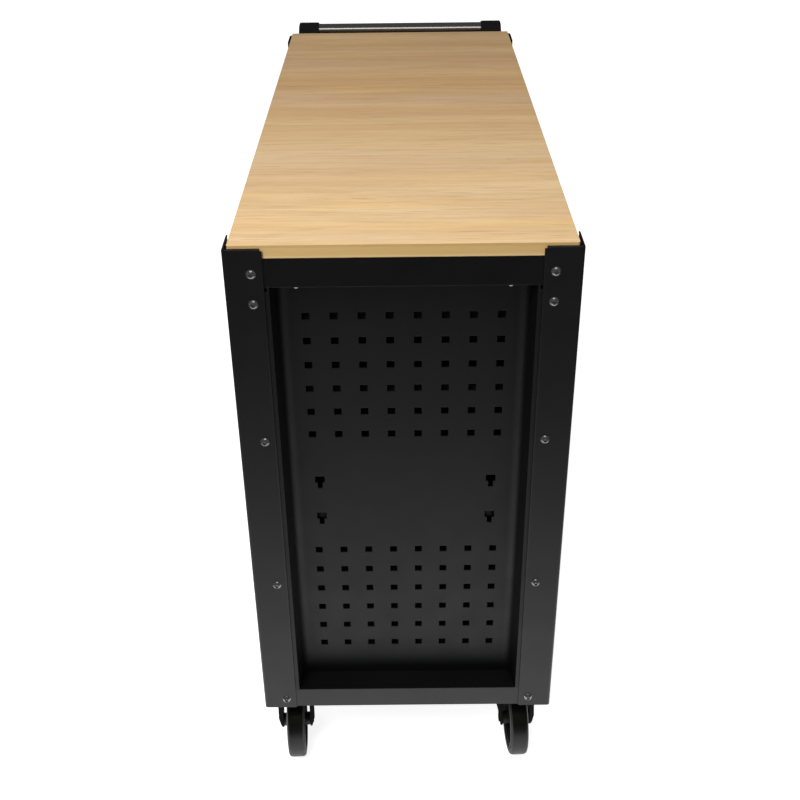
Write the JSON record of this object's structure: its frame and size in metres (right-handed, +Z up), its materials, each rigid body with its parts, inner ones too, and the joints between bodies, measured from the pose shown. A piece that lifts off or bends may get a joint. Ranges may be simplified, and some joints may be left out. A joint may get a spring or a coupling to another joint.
{
  "type": "mobile tool cabinet",
  "caption": "Mobile workbench cabinet: bolted steel frame, wood worktop, perforated ends, drawers on telescopic slides, swivel castors and a push handle.",
  "frame": {"origin": "middle of the footprint at floor level", "axes": "+X along the length towards the push handle, -Y towards the drawers' side, +Z up"},
  "size_m": [1.1808, 0.4716, 0.976],
  "materials": {
    "frame_paint": "black powder coat, fine texture, semi-matt",
    "panel_paint": "black powder coat, fine texture, semi-matt",
    "drawer_paint": "black powder coat, fine texture, semi-matt",
    "worktop_wood": "light oak grain, satin",
    "black_fastener": "black oxide, glossy",
    "yellow_zinc": "yellow zinc plate",
    "zinc_steel": "bright zinc plate",
    "handle_chrome": "bright",
    "bracket_plastic": "moulded, matt",
    "lock_chrome": "bright",
    "fork_paint": "black powder coat",
    "hub_plastic": "moulded, matt",
    "tyre_rubber": "grey-black rubber"
  },
  "bodies": {
    "cabinet": {"corner_post_front_left": "frame_paint", "corner_post_front_right": "frame_paint", "corner_post_rear_left": "frame_paint", "corner_post_rear_right": "frame_paint", "end_top_rail_left": "frame_paint", "end_top_rail_right": "frame_paint", "front_top_rail": "frame_paint", "rear_top_rail": "frame_paint", "base_tray": "frame_paint", "castor_beams": "frame_paint", "end_panel_left": "panel_paint", "end_panel_right": "panel_paint", "rear_panel": "panel_paint", "centre_partition": "panel_paint", "worktop": "worktop_wood", "worktop_screws": "yellow_zinc", "frame_bolts": "black_fastener", "slide_uprights": "zinc_steel", "slide_tracks": "zinc_steel", "castor_plates": "zinc_steel", "castor_bolts": "zinc_steel", "handle_tube": "handle_chrome", "handle_brackets": "bracket_plastic", "lock_housing": "lock_chrome"},
    "lock_plug": {"lock_plug": "lock_chrome"},
    "drawer_left_1": {"drawer_left_1": "drawer_paint", "drawer_runners_left_1": "zinc_steel"},
    "slide_left_1": {"slide_carriages_left_1": "zinc_steel"},
    "drawer_left_2": {"drawer_left_2": "drawer_paint", "drawer_runners_left_2": "zinc_steel"},
    "slide_left_2": {"slide_carriages_left_2": "zinc_steel"},
    "drawer_left_3": {"drawer_left_3": "drawer_paint", "drawer_runners_left_3": "zinc_steel"},
    "slide_left_3": {"slide_carriages_left_3": "zinc_steel"},
    "drawer_left_4": {"drawer_left_4": "drawer_paint", "drawer_runners_left_4": "zinc_steel"},
    "slide_left_4": {"slide_carriages_left_4": "zinc_steel"},
    "drawer_right_1": {"drawer_right_1": "drawer_paint", "drawer_runners_right_1": "zinc_steel"},
    "slide_right_1": {"slide_carriages_right_1": "zinc_steel"},
    "drawer_right_2": {"drawer_right_2": "drawer_paint", "drawer_runners_right_2": "zinc_steel"},
    "slide_right_2": {"slide_carriages_right_2": "zinc_steel"},
    "drawer_right_3": {"drawer_right_3": "drawer_paint", "drawer_runners_right_3": "zinc_steel"},
    "slide_right_3": {"slide_carriages_right_3": "zinc_steel"},
    "fork_front_left": {"castor_fork_front_left": "fork_paint"},
    "wheel_front_left": {"castor_hub_front_left": "hub_plastic", "castor_tyre_front_left": "tyre_rubber"},
    "fork_rear_left": {"castor_fork_rear_left": "fork_paint"},
    "wheel_rear_left": {"castor_hub_rear_left": "hub_plastic", "castor_tyre_rear_left": "tyre_rubber"},
    "fork_front_right": {"castor_fork_front_right": "fork_paint"},
    "wheel_front_right": {"castor_hub_front_right": "hub_plastic", "castor_tyre_front_right": "tyre_rubber"},
    "fork_rear_right": {"castor_fork_rear_right": "fork_paint"},
    "wheel_rear_right": {"castor_hub_rear_right": "hub_plastic", "castor_tyre_rear_right": "tyre_rubber"},
    "brake_front_right": {"brake_pedal_front_right": "fork_paint"},
    "brake_rear_right": {"brake_pedal_rear_right": "fork_paint"}
  },
  "joints": [
    {"name": "lock_turn", "type": "hinge", "parent": "cabinet", "child": "lock_plug", "pos_m": [-0.0289, -0.229, 0.9265], "axis": [0, 1, 0], "range_deg": [0, 90]},
    {"name": "drawer_left_1_slide", "type": "slide", "parent": "cabinet", "child": "drawer_left_1", "axis": [0, -1, 0], "range_m": [0, 0.38]},
    {"name": "slide_left_1_travel", "type": "slide", "parent": "cabinet", "child": "slide_left_1", "axis": [0, -1, 0], "range_m": [0, 0.19]},
    {"name": "drawer_left_2_slide", "type": "slide", "parent": "cabinet", "child": "drawer_left_2", "axis": [0, -1, 0], "range_m": [0, 0.38]},
    {"name": "slide_left_2_travel", "type": "slide", "parent": "cabinet", "child": "slide_left_2", "axis": [0, -1, 0], "range_m": [0, 0.19]},
    {"name": "drawer_left_3_slide", "type": "slide", "parent": "cabinet", "child": "drawer_left_3", "axis": [0, -1, 0], "range_m": [0, 0.38]},
    {"name": "slide_left_3_travel", "type": "slide", "parent": "cabinet", "child": "slide_left_3", "axis": [0, -1, 0], "range_m": [0, 0.19]},
    {"name": "drawer_left_4_slide", "type": "slide", "parent": "cabinet", "child": "drawer_left_4", "axis": [0, -1, 0], "range_m": [0, 0.38]},
    {"name": "slide_left_4_travel", "type": "slide", "parent": "cabinet", "child": "slide_left_4", "axis": [0, -1, 0], "range_m": [0, 0.19]},
    {"name": "drawer_right_1_slide", "type": "slide", "parent": "cabinet", "child": "drawer_right_1", "axis": [0, -1, 0], "range_m": [0, 0.38]},
    {"name": "slide_right_1_travel", "type": "slide", "parent": "cabinet", "child": "slide_right_1", "axis": [0, -1, 0], "range_m": [0, 0.19]},
    {"name": "drawer_right_2_slide", "type": "slide", "parent": "cabinet", "child": "drawer_right_2", "axis": [0, -1, 0], "range_m": [0, 0.38]},
    {"name": "slide_right_2_travel", "type": "slide", "parent": "cabinet", "child": "slide_right_2", "axis": [0, -1, 0], "range_m": [0, 0.19]},
    {"name": "drawer_right_3_slide", "type": "slide", "parent": "cabinet", "child": "drawer_right_3", "axis": [0, -1, 0], "range_m": [0, 0.38]},
    {"name": "slide_right_3_travel", "type": "slide", "parent": "cabinet", "child": "slide_right_3", "axis": [0, -1, 0], "range_m": [0, 0.19]},
    {"name": "swivel_front_left", "type": "hinge", "parent": "cabinet", "child": "fork_front_left", "pos_m": [-0.4914, -0.183, 0.14], "axis": [0, 0, 1], "continuous": true},
    {"name": "roll_front_left", "type": "hinge", "parent": "fork_front_left", "child": "wheel_front_left", "pos_m": [-0.52635, -0.18483, 0.0625], "axis": [-0.0523, 0.9986, 0], "continuous": true},
    {"name": "swivel_rear_left", "type": "hinge", "parent": "cabinet", "child": "fork_rear_left", "pos_m": [-0.4914, 0.191, 0.14], "axis": [0, 0, 1], "continuous": true},
    {"name": "roll_rear_left", "type": "hinge", "parent": "fork_rear_left", "child": "wheel_rear_left", "pos_m": [-0.52635, 0.18917, 0.0625], "axis": [-0.0523, 0.9986, 0], "continuous": true},
    {"name": "swivel_front_right", "type": "hinge", "parent": "cabinet", "child": "fork_front_right", "pos_m": [0.4336, -0.183, 0.14], "axis": [0, 0, 1], "continuous": true},
    {"name": "roll_front_right", "type": "hinge", "parent": "fork_front_right", "child": "wheel_front_right", "pos_m": [0.3986, -0.183, 0.0625], "axis": [0, 1, 0], "continuous": true},
    {"name": "swivel_rear_right", "type": "hinge", "parent": "cabinet", "child": "fork_rear_right", "pos_m": [0.4336, 0.191, 0.14], "axis": [0, 0, 1], "continuous": true},
    {"name": "roll_rear_right", "type": "hinge", "parent": "fork_rear_right", "child": "wheel_rear_right", "pos_m": [0.3986, 0.191, 0.0625], "axis": [0, 1, 0], "continuous": true},
    {"name": "brake_front_right_press", "type": "hinge", "parent": "fork_front_right", "child": "brake_front_right", "pos_m": [0.4116, -0.183, 0.1332], "axis": [0, -1, 0], "range_deg": [0, 5.5]},
    {"name": "brake_rear_right_press", "type": "hinge", "parent": "fork_rear_right", "child": "brake_rear_right", "pos_m": [0.4116, 0.191, 0.1332], "axis": [0, -1, 0], "range_deg": [0, 5.5]}
  ],
  "couplings": [
    {"joint": "slide_left_1_travel", "follows": "drawer_left_1_slide", "ratio": 0.5},
    {"joint": "slide_left_2_travel", "follows": "drawer_left_2_slide", "ratio": 0.5},
    {"joint": "slide_left_3_travel", "follows": "drawer_left_3_slide", "ratio": 0.5},
    {"joint": "slide_left_4_travel", "follows": "drawer_left_4_slide", "ratio": 0.5},
    {"joint": "slide_right_1_travel", "follows": "drawer_right_1_slide", "ratio": 0.5},
    {"joint": "slide_right_2_travel", "follows": "drawer_right_2_slide", "ratio": 0.5},
    {"joint": "slide_right_3_travel", "follows": "drawer_right_3_slide", "ratio": 0.5}
  ]
}
